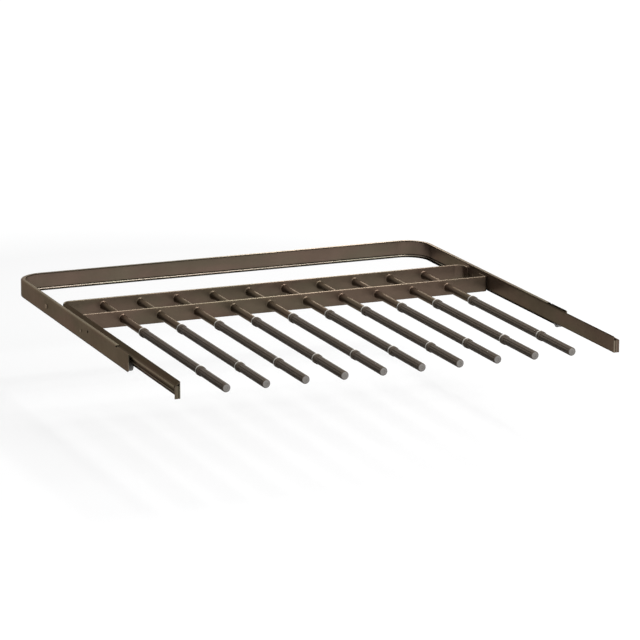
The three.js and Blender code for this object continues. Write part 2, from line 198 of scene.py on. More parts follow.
def rounded(corners):
    """An outline with arcs at its corners, each corner given as (across, up, radius)."""
    outline = []
    for number, (across, up, radius) in enumerate(corners):
        here = Vector((across, up))
        if not radius:
            outline.append(here)
            continue
        before = (Vector(corners[number - 1][:2]) - here).normalized()
        after = (Vector(corners[(number + 1) % len(corners)][:2]) - here).normalized()
        half = before.angle(after) / 2
        centre = here + (before + after).normalized() * (radius / math.sin(half))
        first = (here + before * (radius / math.tan(half)) - centre).normalized()
        last = (here + after * (radius / math.tan(half)) - centre).normalized()
        outline += [centre + radius * first.slerp(last, i / BEND_STEPS) for i in range(BEND_STEPS + 1)]
    return outline


def add_piece(name, mesh, material):
    mesh.materials.append(material)
    piece = bpy.data.objects.new(name, mesh)
    bpy.context.scene.collection.objects.link(piece)
    return piece


def finished_mesh(name, build):
    build.normal_update()
    bmesh.ops.recalc_face_normals(build, faces=build.faces)
    mesh = bpy.data.meshes.new(name)
    build.to_mesh(mesh)
    build.free()
    return mesh


def lofted(name, rings, material):
    """A skin over rings of points, capped at both ends."""
    build = bmesh.new()
    loops = [[build.verts.new(point) for point in ring] for ring in rings]
    count = len(rings[0])
    for near, far in zip(loops, loops[1:]):
        for i in range(count):
            j = (i + 1) % count
            build.faces.new((near[i], near[j], far[j], far[i]))
    build.faces.new(loops[0])
    build.faces.new(loops[-1])
    return add_piece(name, finished_mesh(name, build), material)


def turned(name, profile, along, centre, material, sides=ROUND_SIDES, ribs=None):
    """A turned solid about an axis from (radius, place along) points that start and end on the
    axis, or that close on themselves. A rib function of the angle takes depth off marked points."""
    across = Z_AXIS
    up = along.cross(across)
    build = bmesh.new()
    rings = []
    for radius, place, *marks in profile:
        base = centre + along * place
        if radius == 0:
            rings.append([build.verts.new(base)] * sides)
            continue
        ring = []
        for i in range(sides):
            angle = 2 * math.pi * i / sides
            depth = marks[0] * ribs(angle) if marks else 0
            out = across * math.cos(angle) + up * math.sin(angle)
            ring.append(build.verts.new(base + out * (radius - depth)))
        rings.append(ring)
    spans = list(zip(rings, rings[1:]))
    if profile[0][0] > 0:
        spans.append((rings[-1], rings[0]))
    for near, far in spans:
        for i in range(sides):
            j = (i + 1) % sides
            corners = [near[i], near[j], far[j], far[i]]
            face = [v for k, v in enumerate(corners) if v not in corners[:k]]
            build.faces.new(face)
    return add_piece(name, finished_mesh(name, build), material)


def block(low, high):
    """A plain box that only cuts others."""
    build = bmesh.new()
    bmesh.ops.create_cube(build, size=1)
    size = high - low
    middle = (low + high) / 2
    for v in build.verts:
        v.co = Vector(v.co[k] * size[k] + middle[k] for k in range(3))
    mesh = bpy.data.meshes.new("cutter")
    build.to_mesh(mesh)
    build.free()
    tool = bpy.data.objects.new("cutter", mesh)
    bpy.context.scene.collection.objects.link(tool)
    return tool


def combined(piece, tools, operation="DIFFERENCE"):
    """Cuts the tools from a piece, or joins them to it, and removes them."""
    for tool in tools:
        change = piece.modifiers.new("change", "BOOLEAN")
        change.operation = operation
        change.solver = "EXACT"
        change.object = tool
    graph = bpy.context.evaluated_depsgraph_get()
    mesh = bpy.data.meshes.new_from_object(piece.evaluated_get(graph))
    piece.modifiers.clear()
    piece.data = mesh
    for tool in tools:
        bpy.data.objects.remove(tool)


def paint_faces(piece, material, chosen):
    """Gives the faces that a test of (centre, normal) picks a material of their own."""
    piece.data.materials.append(material)
    index = len(piece.data.materials) - 1
    for face in piece.data.polygons:
        if chosen(face.center, face.normal):
            face.material_index = index


def mirrored(piece, name):
    """A copy of a piece on the other side of the plane X = 0."""
    mesh = piece.data.copy()
    for v in mesh.vertices:
        v.co.x = -v.co.x
    mesh.flip_normals()
    twin = bpy.data.objects.new(name, mesh)
    bpy.context.scene.collection.objects.link(twin)
    return twin


def smooth(piece, angle=SMOOTH_ANGLE):
    piece.data.shade_smooth()
    piece.data.set_sharp_from_angle(angle=math.radians(angle))


def weight_normals(piece):
    """Smooths a folded sheet so that its flat faces shade as flat."""
    smooth(piece)
    weighted = piece.modifiers.new("flat faces stay flat", "WEIGHTED_NORMAL")
    weighted.keep_sharp = True


def place(piece, body, slot, node=None):
    """Puts a finished piece on its body and, if named, in a node's place. The slot is not used."""
    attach(piece, body)
    if node:
        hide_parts(node)


# Materials

# A noise mostly keeps to this range
NOISE_RANGE = (0.3, 0.7)
CLOUD_DETAIL = 3.0
GRAIN_DETAIL = 2.0

# The mix node's sockets for colours
MIX_SOCKETS = (0, 6, 7)
MIX_RESULT = 2

# Each enamel's tone, range of roughness and share of ENAMEL_EDGE_TINT. The marked entries are not
# paints of their own but painted shade or painted highlights.
SATIN = (0.32, 0.42)
ENAMELS = {
    "channel": ((0.132, 0.102, 0.079), SATIN, 0.85),
    "rail": ((0.100, 0.077, 0.059), SATIN, 1.0),
    # Painted shade: a dark enamel for bends and webs that lie in shade
    "shaded": ((0.045, 0.036, 0.025), SATIN, 0.7),
    # Painted shade: a darker enamel for the rail's sloped top and its head and foot bands
    "roof": ((0.058, 0.046, 0.033), SATIN, 0.8),
    # Painted highlight: a paler, glossier enamel for faces, ends and folds that catch the light
    "edge": ((0.165, 0.142, 0.108), (0.24, 0.30), 1.0),
    # Painted shade: a near-black enamel for rims, corners, notches and grooves in shade
    "rim": ((0.020, 0.017, 0.012), SATIN, 0.3),
    # Painted highlight: a pale glint
    "glint": ((0.27, 0.24, 0.20), (0.26, 0.34), 1.0),
    "crossbar": ((0.110, 0.084, 0.063), SATIN, 1.0),
    "rod": ((0.078, 0.061, 0.047), SATIN, 1.0),
    # Painted highlight: the beads are paler than the rods they join, to offset their shading
    "bead_painted_highlight": ((0.125, 0.096, 0.073), (0.28, 0.36), 1.0),
}
ENAMEL_GLOSS = 0.1
ENAMEL_METALLIC = 0.76
ENAMEL_EDGE_TINT = (0.50, 0.44, 0.38)
CLOUD_SCALE = 14
CLOUD_RANGE = (0.35, 0.65)
CLOUD_SHARES = (0.92, 1.08)
DRIFT_SCALE = 9
DRIFT_STRETCH = (1, 1, 3)
DRIFT_RANGE = (0.4, 0.6)
OLIVE_DRIFT = (0.94, 0.97, 0.90)
RED_DRIFT = (1.06, 0.98, 0.96)
SPECK_SCALE = 2600
SPECK_RANGE = (0.68, 0.74)
SPECK_SHARE = 1.35
GLOSS_PATCH_SCALE = 60
PEEL_SCALE = 1100
PEEL_RELIEF = (0.10, 0.0002)
SHEET_WAVE_SCALE = 90
SHEET_WAVE_RELIEF = (0.05, 0.0006)

# Sleeves
SLEEVE_TONE = (0.080, 0.063, 0.048)
SLEEVE_GLOSS = 0.1
SLEEVE_CLOUD_SCALE = 35
SLEEVE_SHARES = (0.9, 1.12)
SLEEVE_ROUGHNESS = (0.55, 0.66)
DRAWN_LINE_SCALE = 700
DRAWN_LINE_STRETCH = (1, 0.02, 1)
DRAWN_LINE_MIX = (0.0, 0.35)
DRAWN_LINE_SHARE = 1.3
DRAWN_LINE_RELIEF = (0.15, 0.0001)
SLEEVE_GRAIN_SCALE = 1800
SLEEVE_GRAIN_RELIEF = (0.12, 0.0001)

# Caps, rings and rollers, each a tone and a roughness
CAP_FINISH = ((0.200, 0.185, 0.170), 0.5)
RING_FINISH = ((0.52, 0.49, 0.44), 0.45)
NYLON_FINISH = ((0.20, 0.19, 0.175), 0.35)
MOULD_CLOUD_SCALE = 120
MOULD_SHARES = (0.9, 1.08)
MOULD_GLOSS_SCALE = 300
MOULD_ROUGHNESS_SPREAD = 0.05
MOULD_GRAIN_SCALE = 2200
MOULD_GRAIN_RELIEF = (0.08, 0.0001)

# Plated pegs
PLATED_TONE = (0.20, 0.155, 0.115)
PLATED_EDGE_TINT = (0.60, 0.50, 0.40)
PLATED_METALLIC = 0.85
PLATED_SHARES = (0.85, 1.1)
PLATED_ROUGHNESS = (0.3, 0.45)
PLATED_GRAIN_SCALE = 2400
PLATED_GRAIN_STRETCH = (0.1, 1, 1)
PLATED_GRAIN_RELIEF = (0.1, 0.0001)

BLACK = (0, 0, 0)
WHITE = (1, 1, 1)


class Shader:
    """A material's node tree, with short calls for the nodes used here."""

    def __init__(self, name):
        self.material = bpy.data.materials.new(name)
        self.material.use_nodes = True
        tree = self.material.node_tree
        self.nodes, self.links = tree.nodes, tree.links
        self.surface = self.nodes["Principled BSDF"]
        self.place = self.nodes.new("ShaderNodeTexCoord").outputs["Object"]

    def noise(self, scale, detail=CLOUD_DETAIL, stretch=(1, 1, 1)):
        mapping = self.nodes.new("ShaderNodeMapping")
        mapping.inputs["Scale"].default_value = stretch
        self.links.new(self.place, mapping.inputs["Vector"])
        texture = self.nodes.new("ShaderNodeTexNoise")
        texture.inputs["Scale"].default_value = scale
        texture.inputs["Detail"].default_value = detail
        self.links.new(mapping.outputs["Vector"], texture.inputs["Vector"])
        return texture.outputs["Fac"]

    def ramp(self, factor, colors, span=NOISE_RANGE):
        """Blends from the first colour to the second as the factor crosses the span."""
        ramp = self.nodes.new("ShaderNodeValToRGB")
        for element, position, color in zip(ramp.color_ramp.elements, span, colors):
            element.position = position
            element.color = (*color, 1)
        self.links.new(factor, ramp.inputs["Fac"])
        return ramp.outputs["Color"]

    def spread(self, factor, values):
        """Maps a noise's middle range to values from low to high."""
        mapped = self.nodes.new("ShaderNodeMapRange")
        limits = zip(("From Min", "From Max", "To Min", "To Max"), (*NOISE_RANGE, *values))
        for name, limit in limits:
            mapped.inputs[name].default_value = limit
        self.links.new(factor, mapped.inputs["Value"])
        return mapped.outputs["Result"]

    def mix(self, factor, first, second, mode="MIX"):
        mixed = self.nodes.new("ShaderNodeMix")
        mixed.data_type = "RGBA"
        mixed.blend_type = mode
        for number, value in zip(MIX_SOCKETS, (factor, first, second)):
            if isinstance(value, bpy.types.NodeSocket):
                self.links.new(value, mixed.inputs[number])
            else:
                mixed.inputs[number].default_value = value
        return mixed.outputs[MIX_RESULT]

    def bump(self, *heights):
        """Stacks bumps into the surface's normal, each a height and its (strength, distance)."""
        normal = None
        for height, (strength, distance) in heights:
            bump = self.nodes.new("ShaderNodeBump")
            bump.inputs["Strength"].default_value = strength
            bump.inputs["Distance"].default_value = distance
            self.links.new(height, bump.inputs["Height"])
            if normal:
                self.links.new(normal, bump.inputs["Normal"])
            normal = bump.outputs["Normal"]
        self.links.new(normal, self.surface.inputs["Normal"])

    def color(self, value):
        self.links.new(value, self.surface.inputs["Base Color"])

    def roughness(self, value):
        self.links.new(value, self.surface.inputs["Roughness"])


def shade(color, share):
    return tuple(channel * share for channel in color)


def shades(color, shares):
    return [shade(color, share) for share in shares]


def enamel(name, tone, rough, edge_tint):
    """Brown stove enamel on steel: cloudy tone, fine orange peel and a few pale specks."""
    paint = Shader(name)
    clouds = paint.ramp(paint.noise(CLOUD_SCALE), shades(tone, CLOUD_SHARES), CLOUD_RANGE)
    drift_noise = paint.noise(DRIFT_SCALE, GRAIN_DETAIL, DRIFT_STRETCH)
    drift = paint.ramp(drift_noise, (OLIVE_DRIFT, RED_DRIFT), DRIFT_RANGE)
    hues = paint.mix(1.0, clouds, drift, "MULTIPLY")
    specks = paint.ramp(paint.noise(SPECK_SCALE, GRAIN_DETAIL), (BLACK, WHITE), SPECK_RANGE)
    paint.color(paint.mix(specks, hues, (*shade(tone, SPECK_SHARE), 1)))
    paint.roughness(paint.spread(paint.noise(GLOSS_PATCH_SCALE), rough))
    paint.bump(
        (paint.noise(PEEL_SCALE, GRAIN_DETAIL), PEEL_RELIEF),
        (paint.noise(SHEET_WAVE_SCALE, GRAIN_DETAIL), SHEET_WAVE_RELIEF),
    )
    paint.surface.inputs["Specular IOR Level"].default_value = ENAMEL_GLOSS
    paint.surface.inputs["Metallic"].default_value = ENAMEL_METALLIC
    paint.surface.inputs["Specular Tint"].default_value = (*shade(ENAMEL_EDGE_TINT, edge_tint), 1)
    return paint.material


def sleeve_plastic(name):
    """Soft dark plastic with drawn lines along the rod and a dusty bloom."""
    plastic = Shader(name)
    lines = plastic.noise(DRAWN_LINE_SCALE, GRAIN_DETAIL, DRAWN_LINE_STRETCH)
    clouds = plastic.noise(SLEEVE_CLOUD_SCALE)
    worn = plastic.ramp(clouds, shades(SLEEVE_TONE, SLEEVE_SHARES))
    pale = (*shade(SLEEVE_TONE, DRAWN_LINE_SHARE), 1)
    plastic.color(plastic.mix(plastic.spread(lines, DRAWN_LINE_MIX), worn, pale))
    plastic.roughness(plastic.spread(clouds, SLEEVE_ROUGHNESS))
    plastic.surface.inputs["Specular IOR Level"].default_value = SLEEVE_GLOSS
    grain = plastic.noise(SLEEVE_GRAIN_SCALE, GRAIN_DETAIL)
    plastic.bump((grain, SLEEVE_GRAIN_RELIEF), (lines, DRAWN_LINE_RELIEF))
    return plastic.material


def moulded_plastic(name, tone, roughness):
    """Faintly cloudy plastic with a fine grain."""
    plastic = Shader(name)
    plastic.color(plastic.ramp(plastic.noise(MOULD_CLOUD_SCALE), shades(tone, MOULD_SHARES)))
    rough = (roughness - MOULD_ROUGHNESS_SPREAD, roughness + MOULD_ROUGHNESS_SPREAD)
    plastic.roughness(plastic.spread(plastic.noise(MOULD_GLOSS_SCALE), rough))
    plastic.bump((plastic.noise(MOULD_GRAIN_SCALE, GRAIN_DETAIL), MOULD_GRAIN_RELIEF))
    return plastic.material


def plated_steel(name):
    """Zinc plate with a faint turned grain."""
    plate = Shader(name)
    grain = plate.noise(PLATED_GRAIN_SCALE, CLOUD_DETAIL, PLATED_GRAIN_STRETCH)
    plate.color(plate.ramp(grain, shades(PLATED_TONE, PLATED_SHARES)))
    plate.roughness(plate.spread(grain, PLATED_ROUGHNESS))
    plate.bump((grain, PLATED_GRAIN_RELIEF))
    plate.surface.inputs["Metallic"].default_value = PLATED_METALLIC
    plate.surface.inputs["Specular Tint"].default_value = (*PLATED_EDGE_TINT, 1)
    return plate.material


def paint_materials():
    paints = {kind: enamel(f"{kind}_enamel", *finish) for kind, finish in ENAMELS.items()}
    paints["sleeve"] = sleeve_plastic("sleeve_plastic")
    paints["cap"] = moulded_plastic("cap_plastic", *CAP_FINISH)
    paints["ring"] = moulded_plastic("ring_plastic", *RING_FINISH)
    paints["nylon"] = moulded_plastic("roller_nylon", *NYLON_FINISH)
    paints["plated"] = plated_steel("zinc_plate")
    return paints


# Frame

channel_low, channel_high = corners_of("channel_frame")
half_width = channel_high.x


def stations_round(half, back, front, radius):
    """Points and outward directions up the left side, across the back and down the right side."""
    left = [(Vector((-half, front, 0)), -X_AXIS)]
    for i in range(CORNER_STEPS + 1):
        angle = math.pi - i * math.pi / 2 / CORNER_STEPS
        out = Vector((math.cos(angle), math.sin(angle), 0))
        centre = Vector((radius - half, back - radius, 0))
        left.append((centre + out * radius, out))
    right = [(Vector((-p.x, p.y, 0)), Vector((-out.x, out.y, 0))) for p, out in left]
    return left + right[::-1]


def swept(name, stations, outline, material):
    """Carries an outline, drawn as inset and height, along the stations."""
    rings = []
    for point, out in stations:
        rings.append([point - out * inset + Z_AXIS * up for inset, up in outline])
    return lofted(name, rings, material)


def cross_pin(radius, y, z):
    """A long round cutter across the rack."""
    reach = half_width + OVERRUN
    profile = [(0, -reach), (radius, -reach), (radius, reach), (0, reach)]
    return turned("cutter", profile, X_AXIS, Vector((0, y, z)), materials["channel"])


def ear_cutter():
    """What the rounded lower front corner of each arm loses."""
    front, bottom = channel_low.y, channel_low.z
    outline = [(front - OVERRUN, bottom - OVERRUN), (front + EAR_RADIUS, bottom - OVERRUN)]
    for a in arc_angles(EAR_STEPS):
        outline.append((
            front + EAR_RADIUS * (1 - math.sin(a)),
            bottom + EAR_RADIUS * (1 - math.cos(a)),
        ))
    outline.append((front - OVERRUN, bottom + EAR_RADIUS))
    reach = half_width + OVERRUN
    rings = [[Vector((x, y, z)) for y, z in outline] for x in (-reach, reach)]
    return lofted("cutter", rings, materials["channel"])


def channel_inset(point):
    """How far inside the channel's outer face a point lies."""
    side = half_width - abs(point.x)
    back = channel_high.y - point.y
    if side < FRAME_CORNER and back < FRAME_CORNER:
        return FRAME_CORNER - math.hypot(FRAME_CORNER - side, FRAME_CORNER - back)
    return min(side, back)


def channel_section():
    """The channel's outline, as inset and height. One flat corner parts off a band."""
    top, bottom = channel_high.z, channel_low.z
    upper, lower = top - CHANNEL_SHEET, bottom + CHANNEL_SHEET
    return rounded([
        (FLANGE_WIDTH, bottom, FLANGE_ROUNDING),
        (0, bottom, CHANNEL_BEND),
        (0, top, CHANNEL_BEND),
        (FLANGE_WIDTH, top, FLANGE_ROUNDING),
        (FLANGE_WIDTH, upper, FLANGE_ROUNDING),
        (CHANNEL_SHEET, upper, CHANNEL_INNER_BEND),
        (CHANNEL_SHEET, lower + CHANNEL_INNER_BEND + CORNER_BAND, 0),
        (CHANNEL_SHEET, lower, CHANNEL_INNER_BEND),
        (FLANGE_WIDTH, lower, FLANGE_ROUNDING),
    ])


def channel_cutters(flange_front):
    """The flanges' cut-backs, the notches, the rounded corners and the screw holes."""
    top, bottom, front = channel_high.z, channel_low.z, channel_low.y
    inside = half_width - CHANNEL_SHEET
    reach = half_width + OVERRUN
    lip = CHANNEL_SHEET + CHANNEL_INNER_BEND
    upper_flange = block(
        Vector((-inside, front - OVERRUN, top - lip)),
        Vector((inside, flange_front, top + OVERRUN)),
    )
    lower_flange = block(
        Vector((-inside, front - OVERRUN, bottom - OVERRUN)),
        Vector((inside, front + LOWER_FLANGE_SETBACK, bottom + lip)),
    )
    notch = block(
        Vector((-reach, flange_front - NOTCH_LENGTH, top - NOTCH_DEPTH)),
        Vector((reach, flange_front, top + OVERRUN)),
    )
    hole_y, hole_z = channel_high.y - SCREW_HOLE_SETBACK, top - SCREW_HOLE_DROP
    screw_hole = cross_pin(SCREW_HOLE_RADIUS, hole_y, hole_z)
    return [upper_flange, lower_flange, notch, ear_cutter(), screw_hole]


def paint_channel(channel, flange_front):
    """Paints shade and highlights onto the sheet as enamels: near-black and dark ones on the rims,
    inner corners, outer lower bend and notches, where shade falls, and paler ones on the upper
    flange's top, the cut front ends and the middle of the lower inner bend, where light catches.
    """
    top, bottom, front = channel_high.z, channel_low.z, channel_low.y
    bend_depth = CHANNEL_SHEET + CHANNEL_INNER_BEND
    corner_top = bottom + CHANNEL_SHEET + CHANNEL_INNER_BEND + CORNER_BAND

    def on_flange(centre):
        return channel_inset(centre) > CHANNEL_BEND

    def near_outside(centre):
        return channel_inset(centre) < CHANNEL_BEND

    def high_rim(centre, normal):
        return on_flange(centre) and centre.z > top - CHANNEL_SHEET and normal.z < MOSTLY

    def low_bend(centre, normal):
        return near_outside(centre) and centre.z < bottom + CHANNEL_BEND and normal.z < LEANING

    def flange_top(centre, normal):
        return on_flange(centre) and centre.z > 0 and normal.z > MOSTLY

    def cut_end(centre, normal):
        return near_outside(centre) and centre.y < front + EAR_RADIUS and normal.y < -SQUARELY

    def inner_corner(centre, normal):
        inside = channel_inset(centre) > CHANNEL_SHEET / 2
        return inside and centre.z < corner_top and normal.z > -LEANING

    def low_rim(centre, normal):
        return on_flange(centre) and centre.z < bottom + CHANNEL_SHEET and normal.z < HALFWAY

    def low_glint(centre, normal):
        in_bend = CHANNEL_SHEET < channel_inset(centre) < bend_depth
        return in_bend and centre.z < 0 and LEANING < normal.z < LEVEL

    def in_notch(centre, normal):
        rear = flange_front + EDGE_ROUNDING
        along = flange_front - NOTCH_LENGTH - EDGE_ROUNDING < centre.y < rear
        high = centre.z > top - NOTCH_DEPTH - EDGE_ROUNDING
        return along and high and abs(normal.x) < HALFWAY

    # Painted shade: near-black enamel on the upper flange's rims
    paint_faces(channel, materials["rim"], high_rim)
    # Painted shade: dark enamel on the outer lower bend
    paint_faces(channel, materials["shaded"], low_bend)
    # Painted highlight: paler enamel on the upper flange's top, which faces the overhead light
    paint_faces(channel, materials["edge"], flange_top)
    # Painted highlight: paler enamel on the cut front ends of the webs
    paint_faces(channel, materials["edge"], cut_end)
    # Painted shade: near-black enamel on the lower flange's top, its inner bend and a band of web
    # above it
    paint_faces(channel, materials["rim"], inner_corner)
    # Painted shade: near-black enamel on the lower flange's rim and underside
    paint_faces(channel, materials["rim"], low_rim)
    # Painted highlight: a pale glint on the middle of the lower inner bend
    paint_faces(channel, materials["glint"], low_glint)
    # Painted shade: near-black enamel inside the notches
    paint_faces(channel, materials["rim"], in_notch)


def make_channel():
    flange_front = channel_low.y + FLANGE_SETBACK
    path = stations_round(half_width, channel_high.y, channel_low.y, FRAME_CORNER)
    channel = swept("channel", path, channel_section(), materials["channel"])
    combined(channel, channel_cutters(flange_front))
    paint_channel(channel, flange_front)
    weight_normals(channel)
    place(channel, "frame", "painted_steel", "channel_frame")


def make_peg(side, kind):
    """A round peg on an arm's outer face, with a dimple in its head and a stem in the sheet."""
    node = f"{kind}_mounting_peg_{side}"
    low, high = corners_of(node)
    radius = (high.z - low.z) / 2
    length = high.x - low.x
    height = length - CHANNEL_SHEET
    dimple = radius * PEG_DIMPLE_SHARE
    stem = radius * PEG_STEM_SHARE
    out = -X_AXIS if side == "left" else X_AXIS
    face = low.x if side == "left" else high.x
    centre = Vector((face, (low.y + high.y) / 2, (low.z + high.z) / 2))
    rim = height / 2
    profile = [(0, -length), (stem, -length), (stem, -height), (radius, -height)]
    for a in arc_angles():
        profile.append((radius - rim + rim * math.cos(a), -rim + rim * math.sin(a)))
    profile += [(dimple, 0), (dimple * PEG_DIMPLE_TAPER, -rim / 2), (0, -rim / 2)]
    peg = turned(f"peg_{kind}_{side}", profile, out, centre, materials["plated"], RIVET_SIDES)
    smooth(peg)
    place(peg, "frame", "plated_steel", node)


def make_roller(side, kind):
    """A nylon roller with a rounded tread, a recessed hub face and a fine parting line."""
    node = f"{kind}_roller_{side}"
    low, high = corners_of(node)
    radius = (high.z - low.z) / 2
    half = (high.x - low.x) / 2
    inwards = X_AXIS if side == "left" else -X_AXIS
    recess_faces = inwards if kind == "front" else -inwards
    bore = AXLE_RADIUS + FIT_GAP
    recess = half - ROLLER_RECESS
    profile = [(bore, -half), (radius - ROLLER_CROWN, -half)]
    for a in arc_angles():
        drop, along = ROLLER_CROWN * (1 - math.sin(a)), ROLLER_CROWN * (1 - math.cos(a))
        profile.append((radius - drop, along - half))
    profile += [(radius, -PARTING), (radius - PARTING / 2, 0), (radius, PARTING)]
    for a in arc_angles():
        drop, along = ROLLER_CROWN * (1 - math.cos(a)), ROLLER_CROWN * (1 - math.sin(a))
        profile.append((radius - drop, half - along))
    profile += [(HUB_RADIUS, half), (HUB_RADIUS - EDGE_ROUNDING, recess), (bore, recess)]
    centre = (low + high) / 2
    roller = turned(f"wheel_{kind}_{side}", profile, recess_faces, centre, materials["nylon"])
    smooth(roller, ROLLER_SMOOTH_ANGLE)
    place(roller, node, "roller_plastic", node)


def make_axle(side, kind, body, material):
    """A riveted axle with a domed head at each end."""
    node = f"{kind}_axle_{side}"
    low, high = corners_of(node)
    radius = (high.z - low.z) / 2
    half = (high.x - low.x) / 2
    neck = half - RIVET_DOME
    outer = [(radius * math.cos(a), neck + RIVET_DOME * math.sin(a)) for a in arc_angles()]
    inner = [(head_radius, -along) for head_radius, along in reversed(outer)]
    inner[0] = (0, -half)
    outer[-1] = (0, half)
    shank = [(AXLE_RADIUS, -neck), (AXLE_RADIUS, neck)]
    profile = inner + shank + outer
    centre = (low + high) / 2
    axle = turned(f"rivet_{kind}_{side}", profile, X_AXIS, centre, material, RIVET_SIDES)
    smooth(axle)
    place(axle, body, "painted_steel", node)


# Carriage

rail_low, rail_high = corners_of("rail_left")
shelf_height = corners_of("front_roller_left")[1].z + SHELF_CLEARANCE
roof_edge = rail_high.z - ROOF_EDGE_DROP
web_inset = RAIL_INSET - RAIL_SHEET


def rail_section():
    """The left rail's outline, as inset and height. Two flat corners part off bands."""
    top, bottom = rail_high.z, rail_low.z
    lip = roof_edge - ROOF_LIP
    shelf_top = shelf_height + RAIL_SHEET
    fine = EDGE_ROUNDING
    return rounded([
        (RAIL_INSET, bottom, fine),
        (RAIL_INSET, bottom + RAIL_FOOT_BAND, 0),
        (RAIL_INSET, top - RAIL_HEAD_BAND, 0),
        (RAIL_INSET, top, ROOF_RIDGE_ROUNDING),
        (ROOF_FOOT_INSET, top - ROOF_FOOT_DROP, ROOF_FOOT_ROUNDING),
        (ROOF_EDGE_INSET, roof_edge, ROOF_EDGE_ROUNDING),
        (ROOF_EDGE_INSET, lip, fine),
        (ROOF_EDGE_INSET + RAIL_SHEET, lip, fine),
        (ROOF_EDGE_INSET + RAIL_SHEET, roof_edge - RAIL_SHEET, 0),
        (GROOVE_INSET, roof_edge - RAIL_SHEET, 0),
        (GROOVE_INSET, shelf_top, SHELF_ROUNDING),
        (SHELF_EDGE_INSET, shelf_top, fine),
        (SHELF_EDGE_INSET, shelf_height, fine),
        (web_inset, shelf_height, 0),
        (web_inset, bottom, fine),
    ])


def rail_hollow():
    """The outline of the room between the rail's web and its closed side."""
    side_inset = GROOVE_INSET + RAIL_SHEET
    return [
        (web_inset, shelf_height + RAIL_SHEET),
        (side_inset, shelf_height + RAIL_SHEET),
        (side_inset, rail_high.z - ROOF_FOOT_DROP - RAIL_SHEET),
        (web_inset, rail_high.z - 2 * RAIL_SHEET),
    ]


def rail_path(start, end):
    return [(Vector((-half_width, y, 0)), -X_AXIS) for y in (start, end)]


def rail_cutters():
    """The room for the rear roller, and what the rail's sloped top loses above and behind the rear
    crossbar.
    """
    outside = -half_width - OVERRUN
    rear = rail_high.y + OVERRUN
    roller_low, roller_high = corners_of("rear_roller_left")
    roller_cut = block(
        Vector((outside, roller_low.y - ROLLER_ROOM, rail_low.z - OVERRUN)),
        Vector((web_inset - half_width, rear, roller_high.z + ROLLER_HEADROOM)),
    )
    bar = corners_of("rear_crossbar")[1]
    ridge_cut = block(
        Vector((outside, bar.y - RIDGE_REAR_RUN, bar.z - RIDGE_CUT_DROP)),
        Vector((RAIL_INSET - half_width + OVERRUN, rear, rail_high.z + OVERRUN)),
    )
    return [roller_cut, ridge_cut]


def paint_rail(rail):
    """Paints shade and highlights onto the left rail as enamels: darker ones on its sloped top, its
    head and foot bands and its lower web, where shade falls, and a paler one on the outward faces of
    the lip and the shelf's rim, where light catches.
    """
    band_top, band_foot = rail_high.z - RAIL_HEAD_BAND, rail_low.z + RAIL_FOOT_BAND

    def inset_of(centre):
        return centre.x + half_width

    def on_bands(centre, normal):
        return not band_foot < centre.z < band_top and inset_of(centre) > web_inset

    def on_roof(centre, normal):
        over_edge = centre.z > roof_edge - EDGE_ROUNDING
        return over_edge and inset_of(centre) < RAIL_INSET - EDGE_ROUNDING and normal.z > LEANING

    def on_edge(centre, normal):
        over_shelf = centre.z > shelf_height - EDGE_ROUNDING
        return over_shelf and inset_of(centre) < GROOVE_INSET - RAIL_SHEET and normal.x < -LEANING

    def on_lower_web(centre, normal):
        under_shelf = centre.z < shelf_height and inset_of(centre) > GROOVE_INSET
        return under_shelf and normal.x < -SQUARELY

    # Painted shade: darker enamel on the head and foot bands of the web
    paint_faces(rail, materials["roof"], on_bands)
    # Painted shade: darker enamel on the sloped top
    paint_faces(rail, materials["roof"], on_roof)
    # Painted highlight: paler enamel on the outward faces of the lip and the shelf's rim
    paint_faces(rail, materials["edge"], on_edge)
    # Painted shade: dark enamel on the lower web under the shelf
    paint_faces(rail, materials["shaded"], on_lower_web)


def make_rails():
    front, rear = rail_low.y + TAB_BEND, rail_high.y
    rail = swept("rail_profile_left", rail_path(front, rear), rail_section(), materials["rail"])
    cavity_path = rail_path(front - OVERRUN, rear + OVERRUN)
    combined(rail, [swept("cutter", cavity_path, rail_hollow(), materials["rail"])])
    combined(rail, rail_cutters())
    paint_rail(rail)
    combined(rail, [make_tab()], "UNION")
    twin = mirrored(rail, "rail_profile_right")
    for side, piece in (("left", rail), ("right", twin)):
        weight_normals(piece)
        place(piece, "carriage", "painted_steel", f"rail_{side}")


def tab_outline(groove_outer, groove_inner):
    """The tab from above: across the rail's end, round the fold and back, one sheet thick."""
    inner, outer = RAIL_INSET - half_width, TAB_EDGE_INSET - half_width
    front = rail_low.y
    groove = front + TAB_GROOVE_DEPTH
    fold = front + TAB_BEND
    outline = [
        (outer, front + EDGE_ROUNDING),
        (outer + EDGE_ROUNDING, front),
        (groove_outer - TAB_EDGE_STRIP, front),
        (groove_outer, front + EDGE_ROUNDING),
        (groove_outer, groove),
        (groove_inner, groove),
        (groove_inner, front),
    ]
    bend = inner - TAB_BEND
    outline += [(bend + TAB_BEND * math.sin(a), fold - TAB_BEND * math.cos(a)) for a in arc_angles()]
    outline += [
        (inner, fold + RAIL_SHEET),
        (inner - RAIL_SHEET, fold + RAIL_SHEET),
        (inner - RAIL_SHEET, fold),
    ]
    hollow = TAB_BEND - RAIL_SHEET
    for a in reversed(arc_angles()[:-1]):
        outline.append((bend + hollow * math.sin(a), fold - hollow * math.cos(a)))
    outline.append((outer, front + RAIL_SHEET))
    return outline


